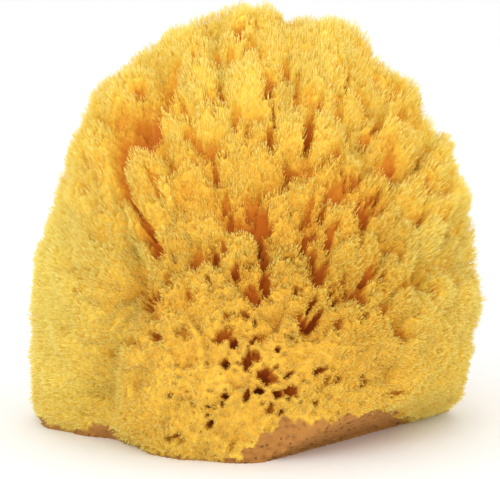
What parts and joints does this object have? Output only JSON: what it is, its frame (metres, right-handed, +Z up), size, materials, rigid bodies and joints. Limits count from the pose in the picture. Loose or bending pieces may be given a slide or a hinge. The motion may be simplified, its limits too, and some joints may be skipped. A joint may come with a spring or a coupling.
{
  "type": "sea sponge",
  "caption": "Large domed natural bath sponge, a radiating mass of soft golden fibre tufts with open pores, cut off flat underneath so that it stands.",
  "frame": {"origin": "bottom centre of the sponge's box, on the flat cut that it stands on", "axes": "+Z up from the cut to the crown, +X along the widest way towards the right-hand lobe, and -Y out of the front face with the open pores"},
  "size_m": [0.17, 0.146, 0.155],
  "materials": {
    "sponge_fibre": "matte"
  },
  "bodies": {
    "root": {"sponge": "sponge_fibre"}
  },
  "joints": []
}
